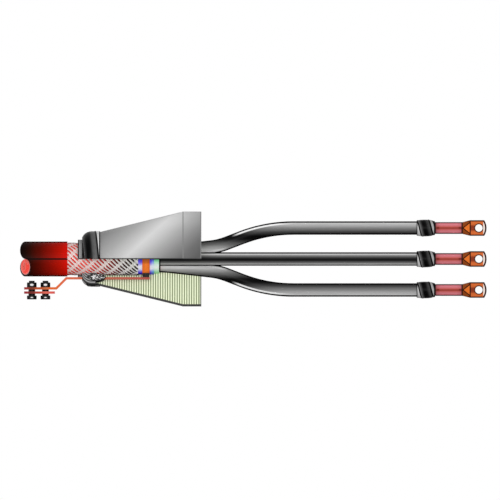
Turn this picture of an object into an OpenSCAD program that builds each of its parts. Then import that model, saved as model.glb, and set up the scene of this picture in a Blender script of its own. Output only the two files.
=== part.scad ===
// Resin-cast termination of a three-core armoured cable, shown as a sectioned
// sample: the front lower quarter of the mould and of its resin is open.
// Millimetres. X runs along the cable towards the lugs and Z is up. The origin
// is on the cable axis, at the edge of the outer sheath.

/* [Cores] */
// Diameter of each copper conductor
conductor_d = 11.6; // [8:0.1:16]
// Wall of the paper insulation on a conductor
insulation_wall = 2.5; // [1.8:0.1:4]
// Wall of the black sleeve on each core tail
sleeve_wall = 1.25; // [0.8:0.05:2.5]
// Length of the core tails from the crotch to the lug barrels
tail_len = 386; // [340:1:480]
// Height of the outer lugs above and below the middle one
lug_spread = 44.3; // [38:0.1:60]
// Angle at which the outer cores leave the crotch
splay_angle = 6.5; // [4:0.1:9]
// Bend radius at the crotch
splay_bend_r = 120; // [90:1:180]
// Straight run of an outer core through the mould
splay_run = 59.8; // [50:0.1:66]
// Steepest angle of the outer cores outside the mould
set_angle = 21; // [18:0.5:26]
// Bend radius where the outer cores turn outwards
set_bend_r = 85; // [78:1:100]
// Bend radius where the outer cores turn level again
level_bend_r = 205; // [150:1:240]
// Bend radius of the middle core's shallow set
middle_bend_r = 200; // [150:1:215]
// Angle of that set
middle_angle = 13; // [10:0.5:13]
// Straight run of the middle core from the crotch to its set
middle_run_in = 74; // [66:1:90]
// Bare insulation between a sleeve and its lug
sleeve_back = 7; // [5:0.5:12]
// Gap between the insulation and the lug
insulation_back = 2; // [1:0.5:4]

/* [Cable] */
// Wall of the belt paper around the three cores
belt_wall = 1.2; // [0.6:0.1:2]
// Length of belt paper left bare
belt_bare = 7.2; // [5:0.1:12]
// Wall of the lead sheath
lead_wall = 1.4; // [1:0.1:2.5]
// Length of lead sheath left bare
lead_bare = 22.8; // [18:0.1:40]
// Wall of the armour braid, over its crests
armour_wall = 1.1; // [0.9:0.1:2]
// Length of armour left bare
armour_bare = 101; // [90:1:120]
// Depth of the valleys between braid strands
braid_depth = 0.6; // [0.3:0.05:0.7]
// Braid strands around the cable, in each direction
braid_strands = 32; // [20:2:36]
// Wall of the outer sheath
sheath_wall = 1.55; // [1.2:0.1:3]
// Length of outer sheath left on the sample
sheath_len = 60.1; // [50:0.1:80]
// How far the twisted cut at the cable end stands out of square
cut_rise = 7.6; // [2:0.1:12]

/* [Mould] */
// Radius of the mould at its mouth
mould_r = 67.9; // [60:0.1:80]
// Length of the straight collar at the mouth
collar_len = 26.2; // [15:0.1:40]
// Length of the cone
cone_len = 125.3; // [110:0.1:140]
// Radius of the cone at its small end
cone_small_r = 37.1; // [36:0.1:42]
// Wall of the mould
mould_wall = 3.3; // [2.5:0.1:5]
// Place of the mould's small end, from the edge of the sheath
mould_x = 40; // [34:0.1:44]
// Depth of the resin's surface below the mouth
resin_recess = 0.8; // [0.3:0.1:4]

/* [Entry seal] */
// Length of the packing that closes the mould's small end
packing_len = 29; // [20:0.1:32]
// Length of the tape, from the collar to its edge on the cone
seal_len = 25.6; // [22:0.1:32]
// Thickness of the tape over the cone's end
seal_wall = 2.2; // [2:0.1:5]
// Length of the tape's rounded shoulder
seal_shoulder = 14; // [8:0.1:16]
// Place of the pale binding, from the edge of the sheath
collar_x = 15; // [8:0.5:18]
// Width of the pale binding next to the tape
collar_w = 6; // [4:0.1:10]
// Thickness of the pale binding
collar_wall = 4.2; // [1.5:0.1:5]
// How far in front of the axis the seal is cut open
seal_cut = 12; // [10.5:0.1:15]

/* [Earth bond] */
// Width of the copper strap and of its link
strap_w = 20; // [16:0.5:22]
// Thickness of the strap and of the link
strap_t = 3.4; // [2:0.1:5]
// Length of the strap's bolted end
pad_len = 46; // [42:0.5:60]
// Gap between the sheath's underside and the strap
strap_gap = 0.9; // [0.7:0.1:3]
// Drop from the run under the cable to the bolted end
pad_drop = 14.4; // [12:0.1:25]
// Length of the link
link_len = 44; // [40:0.5:60]
// Distance between the two bolts
bolt_pitch = 19.5; // [16:0.5:26]
// Distance from the strap's end to the first bolt
bolt_inset = 11; // [9:0.5:14]
// Thread diameter of the bolts
bolt_d = 8; // [6:0.5:9]
// Hexagon of the bolt heads and nuts, across flats
hex_w = 12; // [11:0.5:13]
// Height of the bolt heads
head_h = 5.5; // [4:0.1:8]
// Height of the nuts
nut_h = 6.8; // [5:0.1:9]
// Thread standing out of each nut
thread_out = 2.4; // [1:0.1:5]
// Length of the collars that space the strips apart
spacer_len = 2.6; // [1.5:0.1:5]
// Wall of those collars
spacer_wall = 0.8; // [0.6:0.1:2]
// Width of the clamp band on the lead sheath
band_w = 10.7; // [8:0.1:14]
// Thickness of the clamp band
band_t = 1; // [0.6:0.1:2]
// Half width of the clamp block across the cable
block_half = 12; // [11.5:0.1:14]
// How far the block reaches up around the band
block_rise = 2.4; // [1:0.1:4]

/* [Lugs] */
// Outer diameter of a lug barrel
barrel_d = 16.9; // [15:0.1:20]
// Length of a lug barrel
barrel_len = 48; // [40:0.5:60]
// Depth of metal that closes the barrel's bore
bore_stop = 2; // [1:0.5:4]
// Gap between a conductor and the end of its bore
conductor_gap = 2; // [0.5:0.5:6]
// Length of the neck between barrel and palm
neck_len = 11; // [8:0.5:16]
// Length of the palm
palm_len = 23.4; // [20:0.1:34]
// Width of the palm
palm_w = 22.4; // [18:0.1:30]
// Thickness of the palm
palm_t = 5; // [4:0.1:7]
// How far the palm is set behind the barrel's axis
palm_set = 1.5; // [0:0.1:3]
// Bolt hole in the palm
palm_hole_d = 10.5; // [8.4:0.1:13]
// Distance from the neck to the bolt hole
palm_hole_x = 12.4; // [10:0.1:16]
// Rise of the palm's rounded end
palm_rise = 3.4; // [1:0.1:6]
// Length of the bevel at the palm's end
bevel_len = 5; // [3:0.1:5.5]
// Depth of that bevel
bevel_depth = 1.6; // [0.5:0.1:2.5]
// Radius of the ball that makes the crimp dimples
dimple_r = 2; // [1:0.1:3]
// Distance of the first dimple from the barrel's mouth
dimple_in = 13; // [8:0.5:20]
// Distance of the second dimple from the neck
dimple_out = 3.5; // [2.5:0.5:10]
// Depth of the crimp dimples
dimple_depth = 1.3; // [0.5:0.1:1.6]
// Length of the tape that seals a lug to its sleeve
lug_tape_len = 26.3; // [20:0.1:40]
// Distance of that tape's start from the lug
lug_tape_back = 17.6; // [14:0.1:24]
// Thickness of that tape on the sleeve
lug_tape_wall = 1.9; // [1.5:0.1:4]
// Turns of that tape
lug_tape_turns = 5; // [3:1:8]
// Height of the edge that each turn leaves
tape_edge = 0.35; // [0.1:0.05:0.6]

/* [Hidden] */
$fn = 64;

// Clearance between pieces that touch, and overcut of the cutting shapes
fit = 0.05;
over = 1;
// Lap of a straight into its bends, and how much thicker the bends are
lap = 0.5;
bend_swell = 0.03;

// Layers of the cable, from the inside out
conductor_r = conductor_d / 2;
insulation_r = conductor_r + fit + insulation_wall;
sleeve_r = insulation_r + fit + sleeve_wall;
core_pitch = 2 * (sleeve_r + fit);
core_circle_r = core_pitch / sqrt(3);
belt_in_r = core_circle_r + insulation_r + fit;
belt_r = belt_in_r + belt_wall;
lead_r = belt_r + fit + lead_wall;
armour_in_r = lead_r + fit;
armour_r = armour_in_r + armour_wall;
sheath_r = armour_r + fit + sheath_wall;

// Stations along the cable
armour_end = armour_bare;
lead_end = armour_end + lead_bare;
crotch = lead_end + belt_bare;
lug_x = crotch + tail_len;
sleeve_end = lug_x - sleeve_back;
insulation_end = lug_x - insulation_back;
conductor_end = lug_x + barrel_len - bore_stop - conductor_gap;

// The twisted cut: it turns its lower half to the front and its upper half away
cut_x = -sheath_len;
cut_half = sheath_r + 3;
cut_far = -sheath_len - 3 * cut_rise - 20;

// Routes of the cores. A straight is [length, 0] and a bend is [radius, angle].
route_x = crotch + 2;
top_start = [core_circle_r / 2, core_pitch / 2];
top_shift = [-top_start[0], lug_spread - top_start[1]];
top_turn = atan2(top_shift[1], top_shift[0]);
set_rise = norm(top_shift)
    - splay_bend_r * (1 - cos(splay_angle)) - splay_run * sin(splay_angle)
    - set_bend_r * (cos(splay_angle) - cos(set_angle)) - level_bend_r * (1 - cos(set_angle));
set_run = set_rise / sin(set_angle);
top_level_x = route_x + splay_bend_r * sin(splay_angle) + splay_run * cos(splay_angle)
    + set_bend_r * (sin(set_angle) - sin(splay_angle)) + set_run * cos(set_angle)
    + level_bend_r * sin(set_angle);
middle_set_x = crotch + middle_run_in;
middle_run_len = (core_circle_r - 2 * middle_bend_r * (1 - cos(middle_angle))) / sin(middle_angle);
middle_level_x = middle_set_x + 2 * middle_bend_r * sin(middle_angle)
    + middle_run_len * cos(middle_angle);

// Mould
cone_end = mould_x + cone_len;
mouth_x = cone_end + collar_len;
cone_slope = (mould_r - cone_small_r) / cone_len;
cone_wall = mould_wall * sqrt(1 + pow(cone_slope, 2));
resin_top = mouth_x - resin_recess;

// Entry seal
seal_x = collar_x + collar_w + fit;
seal_end = seal_x + seal_len;
seal_r = cone_small_r + seal_wall;
packing_in_r = armour_r + fit;
packing_out_r = cone_small_r - cone_wall - fit;
packing_half = (packing_out_r - packing_in_r) / 2;
packing_mid_r = (packing_out_r + packing_in_r) / 2;
packing_in = 1.5;
packing_x = mould_x + packing_in;
packing_arc_r = (pow(packing_len / 2, 2) + pow(packing_half, 2)) / (2 * packing_half);

// Earth bond
band_x = armour_end + (lead_bare - band_w) / 2;
band_in_r = lead_r + fit;
band_r = band_in_r + band_t;
run_z = -sheath_r - strap_gap - strap_t / 2;
pad_z = run_z - pad_drop;
run_x = -1.5;
pad_bend_x = run_x - pad_drop;
pad_x = pad_bend_x - pad_len;
strap_path = [
    [pad_x, pad_z], [pad_bend_x, pad_z], [run_x, run_z], [band_x + band_w, run_z],
];
block_z = run_z + strap_t / 2 + fit;
block_inset = 0.5;
link_z = pad_z - strap_t - spacer_len;
bolt_x = [pad_x + bolt_inset, pad_x + bolt_inset + bolt_pitch];
head_z = link_z - strap_t / 2 - spacer_len;
nut_z = pad_z + strap_t / 2;
thread_end_z = nut_z + nut_h + thread_out;
bolt_clearance = 0.2;

// Lugs
barrel_r = barrel_d / 2;
neck_x = lug_x + barrel_len;
palm_x = neck_x + neck_len;
palm_end = palm_x + palm_len;
palm_arc_r = (pow(palm_w / 2, 2) + pow(palm_rise, 2)) / (2 * palm_rise);
dimple_x = [lug_x + dimple_in, neck_x - dimple_out];
lug_tape_x = lug_x - lug_tape_back;
lug_tape_r = sleeve_r + lug_tape_wall;

// Place of the twisted cut. Seen from the front, each half of its edge is half an
// ellipse, and the face of the lower half fills one.
function cut_at(y, z) =
    cut_x + sign(z) * 2 * cut_rise / sheath_r * sqrt(abs(z) / (sheath_r + abs(z))) * y;

// Radius of the mould's outside at a station on its cone
function cone_r(x) = cone_small_r + cone_slope * (x - mould_x);

function unit(v) = v / norm(v);

function left_of(v) = [-v[1], v[0]];

// Corner of a bent strip at distance d from its middle line
function mitre(path, i, d) =
    let (
        a = unit(i > 0 ? path[i] - path[i - 1] : path[1] - path[0]),
        b = i < len(path) - 1 ? unit(path[i + 1] - path[i]) : a,
        n = unit(left_of(a) + left_of(b))
    ) path[i] + n * d / (n * left_of(a));

// Turns a profile of [radius, x] points around the cable axis. A turn of 270
// degrees leaves the front lower quarter open.
module revolve(turn = 360) {
    rotate([0, 90, 0])
        rotate_extrude(angle = turn)
            children();
}

// Disc or ring around X, from x0 to x1
module tube(x0, x1, r_out, r_in = 0) {
    translate([x0, 0, 0])
        rotate([0, 90, 0])
            difference() {
                cylinder(h = x1 - x0, r = r_out);
                if (r_in > 0) {
                    translate([0, 0, -over])
                        cylinder(h = x1 - x0 + 2 * over, r = r_in);
                }
            }
}

// Bend that starts at the origin along X and turns left, or right if negative
module elbow(radius, angle, r) {
    translate([0, sign(angle) * radius, 0])
        rotate([0, 0, angle > 0 ? -90 : 90 + angle])
            rotate_extrude(angle = abs(angle))
                translate([radius, 0])
                    circle(r = r);
}

// Rod along a route of straights and bends. The bends are a hair thicker, so
// that the straights can lap into them.
module follow(route, r, i = 0) {
    if (i < len(route)) {
        size = route[i][0];
        angle = route[i][1];
        if (angle == 0) {
            tube(i > 0 ? -lap : 0, size + (i < len(route) - 1 ? lap : 0), r);
            translate([size, 0, 0])
                follow(route, r, i + 1);
        } else {
            elbow(size, angle, r + bend_swell);
            translate([size * sin(abs(angle)), sign(angle) * size * (1 - cos(angle)), 0])
                rotate([0, 0, angle])
                    follow(route, r, i + 1);
        }
    }
}

// Top core, from one station along the cable to another near the lugs
module top_run(x0, x1, r) {
    translate([x0, top_start[0], top_start[1]])
        rotate([top_turn, 0, 0])
            follow([
                [route_x - x0, 0], [splay_bend_r, splay_angle], [splay_run, 0],
                [set_bend_r, set_angle - splay_angle], [set_run, 0],
                [level_bend_r, -set_angle], [x1 - top_level_x, 0],
            ], r);
}

module middle_run(x0, x1, r) {
    translate([x0, -core_circle_r, 0])
        follow([
            [middle_set_x - x0, 0], [middle_bend_r, middle_angle], [middle_run_len, 0],
            [middle_bend_r, -middle_angle], [x1 - middle_level_x, 0],
        ], r);
}

module bottom_run(x0, x1, r) {
    mirror([0, 0, 1])
        top_run(x0, x1, r);
}

// Straight cores inside the cable
module cable_cores(x0, x1, r) {
    for (start = [[-core_circle_r, 0], top_start, [top_start[0], -top_start[1]]]) {
        translate([0, start[0], start[1]])
            tube(x0, x1, r);
    }
}

// What the twisted cut takes off the cable end
module end_cut() {
    ys = [-1, -0.5, 0, 0.5, 1] * cut_half;
    zs = [for (s = [-1:0.125:1]) sign(s) * pow(s, 2) * cut_half];
    ny = len(ys);
    nz = len(zs);
    face = [for (y = ys) for (z = zs) [cut_at(y, z), y, z]];
    back = [
        [cut_far, -cut_half, -cut_half], [cut_far, -cut_half, cut_half],
        [cut_far, cut_half, cut_half], [cut_far, cut_half, -cut_half],
    ];
    n = len(face);
    polyhedron(
        points = concat(face, back),
        faces = concat(
            [for (i = [0:ny - 2]) for (j = [0:nz - 2])
                [i * nz + j, i * nz + j + 1, (i + 1) * nz + j]],
            [for (i = [0:ny - 2]) for (j = [0:nz - 2])
                [i * nz + j + 1, (i + 1) * nz + j + 1, (i + 1) * nz + j]],
            [
                concat([n], [n + 1], [for (j = [nz - 1:-1:0]) j]),
                concat([n + 2], [n + 3], [for (j = [0:nz - 1]) (ny - 1) * nz + j]),
                concat([n + 1], [n + 2], [for (i = [ny - 1:-1:0]) i * nz + nz - 1]),
                concat([n + 3], [n], [for (i = [0:ny - 1]) i * nz]),
                [n + 3, n + 2, n + 1, n],
            ]
        )
    );
}

// Side profile of the strap, or of the slot that holds it
module strap_bar(grow = 0) {
    n = len(strap_path);
    half = strap_t / 2 + grow;
    rotate([90, 0, 0])
        linear_extrude(height = strap_w + 2 * grow, center = true)
            polygon(concat(
                [for (i = [0:n - 1]) mitre(strap_path, i, half)],
                [for (i = [n - 1:-1:0]) mitre(strap_path, i, -half)]
            ));
}

// Lens-shaped section of the packing
module packing_profile(grow = 0) {
    intersection() {
        translate([packing_out_r - packing_arc_r, packing_x])
            circle(r = packing_arc_r + grow);
        translate([packing_in_r + packing_arc_r, packing_x])
            circle(r = packing_arc_r + grow);
    }
}

// What is cut off the front of the entry seal
module seal_opening() {
    translate([0, -seal_cut - mould_r, -mould_r])
        cube([mouth_x, mould_r, mould_r]);
}

module outer_sheath() {
    color("firebrick")
        difference() {
            tube(cut_far + over, 0, sheath_r, armour_r + fit);
            end_cut();
        }
}

// The strands cross in diamonds: crests and valleys alternate along each row
module armour_braid() {
    cols = 2 * braid_strands;
    pitch = 2 * PI * armour_r / cols;
    under_sheath = 2;
    rows = floor((armour_end + under_sheath) / pitch);
    step = (armour_end + under_sheath) / rows;
    function around(i, x, r) = [x, r * cos(360 * i / cols), r * sin(360 * i / cols)];
    function cut_point(i, r) =
        around(i, cut_at(r * cos(360 * i / cols), r * sin(360 * i / cols)), r);
    function crest(i, j) = (i + j) % 2 == 0 ? armour_r - braid_depth : armour_r;
    function at(row, i) = row * cols + i % cols;
    last = rows + 2;
    inside = last + 1;
    color("gainsboro")
        polyhedron(
            points = concat(
                [for (i = [0:cols - 1]) cut_point(i, armour_r)],
                [for (i = [0:cols - 1]) around(i, -under_sheath - step, armour_r)],
                [for (j = [0:rows]) for (i = [0:cols - 1])
                    around(i, -under_sheath + j * step, crest(i, j))],
                [for (i = [0:cols - 1]) cut_point(i, armour_in_r)],
                [for (i = [0:cols - 1]) around(i, armour_end, armour_in_r)]
            ),
            faces = concat(
                [for (j = [0:last - 1]) for (i = [0:cols - 1]) (i + j) % 2 == 0
                    ? [at(j, i), at(j + 1, i), at(j + 1, i + 1)]
                    : [at(j, i), at(j + 1, i), at(j, i + 1)]],
                [for (j = [0:last - 1]) for (i = [0:cols - 1]) (i + j) % 2 == 0
                    ? [at(j, i), at(j + 1, i + 1), at(j, i + 1)]
                    : [at(j + 1, i), at(j + 1, i + 1), at(j, i + 1)]],
                [for (i = [0:cols - 1]) [at(0, i), at(0, i + 1), at(inside, i + 1)]],
                [for (i = [0:cols - 1]) [at(0, i), at(inside, i + 1), at(inside, i)]],
                [for (i = [0:cols - 1]) [at(last, i + 1), at(last, i), at(inside + 1, i)]],
                [for (i = [0:cols - 1]) [at(last, i + 1), at(inside + 1, i), at(inside + 1, i + 1)]],
                [for (i = [0:cols - 1]) [at(inside, i), at(inside, i + 1), at(inside + 1, i + 1)]],
                [for (i = [0:cols - 1]) [at(inside, i), at(inside + 1, i + 1), at(inside + 1, i)]]
            )
        );
}

module lead_sheath() {
    color("lightsteelblue")
        difference() {
            tube(cut_far + over, lead_end, lead_r, belt_r + fit);
            end_cut();
        }
}

module belt_paper() {
    color("darkseagreen")
        difference() {
            tube(cut_far + over, crotch, belt_r, belt_in_r);
            end_cut();
        }
}

module core_filler() {
    color("indianred")
        difference() {
            tube(cut_far + over, crotch, belt_in_r - fit);
            cable_cores(cut_far, crotch + over, insulation_r + fit);
            end_cut();
        }
}

module conductor_top() {
    color("peru")
        difference() {
            top_run(cut_far + over, conductor_end, conductor_r);
            end_cut();
        }
}

module conductor_middle() {
    color("peru")
        difference() {
            middle_run(cut_far + over, conductor_end, conductor_r);
            end_cut();
        }
}

module conductor_bottom() {
    color("peru")
        difference() {
            bottom_run(cut_far + over, conductor_end, conductor_r);
            end_cut();
        }
}

module core_insulation_top() {
    color("salmon")
        difference() {
            top_run(cut_far + over, insulation_end, insulation_r);
            top_run(cut_far, insulation_end + over, conductor_r + fit);
            end_cut();
        }
}

module core_insulation_middle() {
    color("salmon")
        difference() {
            middle_run(cut_far + over, insulation_end, insulation_r);
            middle_run(cut_far, insulation_end + over, conductor_r + fit);
            end_cut();
        }
}

module core_insulation_bottom() {
    color("salmon")
        difference() {
            bottom_run(cut_far + over, insulation_end, insulation_r);
            bottom_run(cut_far, insulation_end + over, conductor_r + fit);
            end_cut();
        }
}

module core_sleeve_top() {
    color("dimgray")
        difference() {
            top_run(crotch + fit, sleeve_end, sleeve_r);
            top_run(crotch - over, sleeve_end + over, insulation_r + fit);
        }
}

module core_sleeve_middle() {
    color("dimgray")
        difference() {
            middle_run(crotch + fit, sleeve_end, sleeve_r);
            middle_run(crotch - over, sleeve_end + over, insulation_r + fit);
        }
}

module core_sleeve_bottom() {
    color("dimgray")
        difference() {
            bottom_run(crotch + fit, sleeve_end, sleeve_r);
            bottom_run(crotch - over, sleeve_end + over, insulation_r + fit);
        }
}

// Barrel-shaped wrap whose outside steps down at the edge of each turn
module lug_tape() {
    step = lug_tape_len / lug_tape_turns;
    function swell(k) = k < lug_tape_turns ? sin(35 + 125 * k / lug_tape_turns) : 0;
    base_r = barrel_r + 0.6;
    color("black")
        revolve()
            polygon(concat(
                [
                    [barrel_r + fit, lug_tape_x + lug_tape_len],
                    [barrel_r + fit, sleeve_end + fit],
                    [sleeve_r + fit, sleeve_end + fit],
                    [sleeve_r + fit, lug_tape_x],
                ],
                [for (k = [0:lug_tape_turns - 1]) for (e = [0, 1]) [
                    max(
                        base_r + (lug_tape_r - base_r) * swell(k + e),
                        k == 0 ? sleeve_r + 0.6 : base_r
                    ) - (e == 0 ? tape_edge : 0),
                    lug_tape_x + (k + e) * step,
                ]]
            ));
}

module lug_tape_top() {
    translate([0, 0, lug_spread])
        lug_tape();
}

module lug_tape_middle() {
    lug_tape();
}

module lug_tape_bottom() {
    translate([0, 0, -lug_spread])
        lug_tape();
}

module palm_blank() {
    translate([0, palm_set + palm_t / 2, 0])
        rotate([90, 0, 0])
            linear_extrude(height = palm_t)
                intersection() {
                    translate([palm_x, -palm_w / 2])
                        square([palm_len, palm_w]);
                    translate([palm_end - palm_arc_r, 0])
                        circle(r = palm_arc_r);
                }
}

// Crimped copper lug: a tube whose end is pressed flat
module lug() {
    color("sandybrown")
        difference() {
            union() {
                tube(lug_x, neck_x, barrel_r);
                hull() {
                    translate([neck_x - lap, 0, 0])
                        rotate([0, 90, 0])
                            cylinder(h = lap, r = barrel_r - fit, $fn = 32);
                    translate([palm_x, palm_set - palm_t / 2, -palm_w / 2])
                        cube([lap, palm_t, palm_w]);
                }
                palm_blank();
            }
            tube(lug_x - over, neck_x - bore_stop, conductor_r + fit);
            translate([palm_x + palm_hole_x, palm_set, 0])
                rotate([90, 0, 0])
                    cylinder(h = palm_t + 2 * over, d = palm_hole_d, center = true);
            for (x = dimple_x) {
                translate([x, dimple_depth - dimple_r - barrel_r, 0])
                    sphere(r = dimple_r);
            }
            translate([palm_end - bevel_len, palm_set - palm_t / 2, 0])
                rotate([0, 0, atan2(bevel_depth, bevel_len)])
                    translate([0, -palm_t, -palm_w])
                        cube([palm_len, palm_t, 2 * palm_w]);
        }
}

module lug_top() {
    translate([0, 0, lug_spread])
        lug();
}

module lug_middle() {
    lug();
}

module lug_bottom() {
    translate([0, 0, -lug_spread])
        lug();
}

module mould_shell() {
    color("darkgray")
        revolve(270)
            polygon([
                [cone_small_r, mould_x], [mould_r, cone_end], [mould_r, mouth_x],
                [mould_r - mould_wall, mouth_x], [mould_r - mould_wall, cone_end],
                [cone_small_r - cone_wall, mould_x],
            ]);
}

module resin_fill() {
    resin_x = packing_x;
    wall_r = mould_r - mould_wall - fit;
    color("palegoldenrod")
        difference() {
            revolve(270)
                polygon([
                    [0, resin_x], [cone_r(resin_x) - cone_wall - fit, resin_x],
                    [wall_r, cone_end], [wall_r, resin_top], [0, resin_top],
                ]);
            revolve()
                polygon([
                    [0, 0], [armour_r + fit, 0], [armour_r + fit, armour_end + fit],
                    [lead_r + fit, armour_end + fit], [lead_r + fit, band_x - fit],
                    [band_r + fit, band_x - fit], [band_r + fit, band_x + band_w + fit],
                    [lead_r + fit, band_x + band_w + fit], [lead_r + fit, lead_end + fit],
                    [belt_r + fit, lead_end + fit], [belt_r + fit, crotch + fit],
                    [0, crotch + fit],
                ]);
            revolve()
                packing_profile(fit);
            block_blank(fit);
            strap_bar(fit);
            top_run(crotch, mouth_x + 300, sleeve_r + fit);
            middle_run(crotch, mouth_x + 300, sleeve_r + fit);
            bottom_run(crotch, mouth_x + 300, sleeve_r + fit);
            // The section lays the lower core bare to its full width
            translate([0, -top_start[0], 0])
                bottom_run(crotch, mouth_x + 300, sleeve_r + fit);
        }
}

module packing_ring() {
    color("slategray")
        difference() {
            revolve()
                packing_profile();
            strap_bar(fit);
            seal_opening();
        }
}

module seal_tape() {
    shoulder = [for (a = [0:15:90]) [
        seal_r - (1 - sin(a)) * (seal_r - armour_r - collar_wall),
        seal_x + seal_shoulder * (1 - cos(a)),
    ]];
    color("black")
        difference() {
            revolve()
                polygon(concat([[armour_r + fit, seal_x]], shoulder, [
                    [seal_r, seal_end], [cone_r(seal_end) + fit, seal_end],
                    [cone_r(mould_x - fit) + fit, mould_x - fit], [armour_r + fit, mould_x - fit],
                ]));
            revolve()
                packing_profile(fit);
            strap_bar(fit);
            seal_opening();
        }
}

module entry_collar() {
    color("lightgray")
        difference() {
            revolve(270)
                polygon([
                    [armour_r + fit, collar_x], [armour_r + collar_wall, collar_x],
                    [armour_r + collar_wall, collar_x + collar_w],
                    [armour_r + fit, collar_x + collar_w],
                ]);
            strap_bar(fit);
        }
}

module clamp_band() {
    color("chocolate")
        tube(band_x, band_x + band_w, band_r, band_in_r);
}

module block_blank(grow = 0) {
    translate([band_x + block_inset - grow, -block_half - grow, block_z - grow])
        cube([
            band_w - 2 * block_inset + 2 * grow,
            2 * (block_half + grow),
            block_rise - lead_r - block_z + 2 * grow,
        ]);
}

// Saddle block between the band and the strap's end
module clamp_block() {
    color("black")
        difference() {
            block_blank();
            tube(band_x - over, band_x + band_w + over, band_r + fit);
        }
}

module earth_strap() {
    color("coral")
        difference() {
            strap_bar();
            bolt_holes(pad_z);
        }
}

module bolt_holes(z) {
    for (x = bolt_x) {
        translate([x, 0, z])
            cylinder(h = strap_t + 2 * over, r = bolt_d / 2 + bolt_clearance, center = true);
    }
}

module earth_link() {
    color("coral")
        difference() {
            translate([pad_x, -strap_w / 2, link_z - strap_t / 2])
                cube([link_len, strap_w, strap_t]);
            bolt_holes(link_z);
        }
}

// Hexagon with two flats square to Y and its outer corners rounded off
module hexagon(height, up) {
    corner_r = hex_w / sqrt(3);
    chamfer = 0.9;
    intersection() {
        cylinder(h = height, r = corner_r, $fn = 6);
        translate([0, 0, up ? 0 : height])
            mirror([0, 0, up ? 0 : 1])
                rotate_extrude()
                    polygon([
                        [0, 0], [corner_r + over, 0], [corner_r + over, height - chamfer],
                        [hex_w / 2, height], [0, height],
                    ]);
    }
}

module earth_bolts() {
    color("black")
        for (x = bolt_x) {
            translate([x, 0, head_z - head_h])
                hexagon(head_h, false);
            translate([x, 0, head_z - fit])
                cylinder(h = thread_end_z - head_z + fit, r = bolt_d / 2);
        }
}

module earth_nuts() {
    color("black")
        for (x = bolt_x) {
            translate([x, 0, nut_z])
                difference() {
                    hexagon(nut_h, true);
                    translate([0, 0, -over])
                        cylinder(h = nut_h + 2 * over, r = bolt_d / 2 + fit);
                }
        }
}

module earth_spacers() {
    bore_r = bolt_d / 2 + fit;
    color("black")
        for (x = bolt_x) {
            for (z = [link_z + strap_t / 2, head_z]) {
                translate([x, 0, z])
                    difference() {
                        cylinder(h = spacer_len, r = bore_r + spacer_wall);
                        translate([0, 0, -over])
                            cylinder(h = spacer_len + 2 * over, r = bore_r);
                    }
            }
        }
}

outer_sheath();
armour_braid();
lead_sheath();
belt_paper();
core_filler();
conductor_top();
conductor_middle();
conductor_bottom();
core_insulation_top();
core_insulation_middle();
core_insulation_bottom();
core_sleeve_top();
core_sleeve_middle();
core_sleeve_bottom();
lug_tape_top();
lug_tape_middle();
lug_tape_bottom();
lug_top();
lug_middle();
lug_bottom();
mould_shell();
resin_fill();
packing_ring();
seal_tape();
entry_collar();
clamp_band();
clamp_block();
earth_strap();
earth_link();
earth_bolts();
earth_nuts();
earth_spacers();
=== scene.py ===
"""Looks of a resin-cast, three-core cable termination shown as a sectioned sample.

Metres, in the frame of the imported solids: X along the cable towards the lugs, Z up,
the origin on the cable axis at the edge of the outer sheath. The view is from -Y.
"""
import math

import bmesh
import bpy
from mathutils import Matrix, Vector
from mathutils.bvhtree import BVHTree

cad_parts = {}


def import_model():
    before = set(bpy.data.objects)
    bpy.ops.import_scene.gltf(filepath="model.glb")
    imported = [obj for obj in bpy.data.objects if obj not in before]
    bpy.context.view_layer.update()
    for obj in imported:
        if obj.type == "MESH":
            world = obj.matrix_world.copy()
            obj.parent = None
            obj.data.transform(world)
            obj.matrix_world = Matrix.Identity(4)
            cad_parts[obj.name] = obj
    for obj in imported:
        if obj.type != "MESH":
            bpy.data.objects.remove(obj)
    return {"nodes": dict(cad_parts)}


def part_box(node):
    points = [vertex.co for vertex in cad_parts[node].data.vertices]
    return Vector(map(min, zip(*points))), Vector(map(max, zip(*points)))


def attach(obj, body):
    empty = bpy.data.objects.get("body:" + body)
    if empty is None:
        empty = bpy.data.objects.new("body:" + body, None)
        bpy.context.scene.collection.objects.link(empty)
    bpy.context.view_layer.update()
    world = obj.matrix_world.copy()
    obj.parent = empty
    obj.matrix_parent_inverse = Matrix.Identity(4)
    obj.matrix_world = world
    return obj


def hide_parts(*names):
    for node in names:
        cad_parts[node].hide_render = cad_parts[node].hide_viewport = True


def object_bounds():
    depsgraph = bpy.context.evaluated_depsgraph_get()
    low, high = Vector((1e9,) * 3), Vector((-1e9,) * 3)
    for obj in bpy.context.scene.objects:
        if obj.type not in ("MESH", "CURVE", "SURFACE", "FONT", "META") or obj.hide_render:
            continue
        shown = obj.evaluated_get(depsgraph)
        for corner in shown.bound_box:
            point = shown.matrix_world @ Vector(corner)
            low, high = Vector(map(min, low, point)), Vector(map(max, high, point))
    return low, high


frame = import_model()
solids = frame["nodes"]
CAD_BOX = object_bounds()

MM = 0.001
TURN = 2 * math.pi
CORES = ("top", "middle", "bottom")
BENT_SLEEVE, STRAIGHT_SLEEVE = "core_sleeve_top", "core_sleeve_middle"

# Boxes of the solids
SHEATH_LO, SHEATH_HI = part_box("outer_sheath")
ARMOUR_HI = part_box("armour_braid")[1]
LEAD_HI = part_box("lead_sheath")[1]
SEAL_LO, SEAL_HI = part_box("seal_tape")
COLLAR_LO, COLLAR_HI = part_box("entry_collar")
PACKING_LO, PACKING_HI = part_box("packing_ring")
MOULD_LO, MOULD_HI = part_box("mould_shell")
RESIN_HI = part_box("resin_fill")[1]
SLEEVE_LO, SLEEVE_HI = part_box(STRAIGHT_SLEEVE)
LUG_TAPE_LO, LUG_TAPE_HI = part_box("lug_tape_middle")
LUG_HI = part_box("lug_middle")[1]
LUG_TOP_LO, LUG_TOP_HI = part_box("lug_top")
NUT_LO, NUT_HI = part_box("earth_nuts")
BOLT_LO, BOLT_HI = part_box("earth_bolts")

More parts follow.
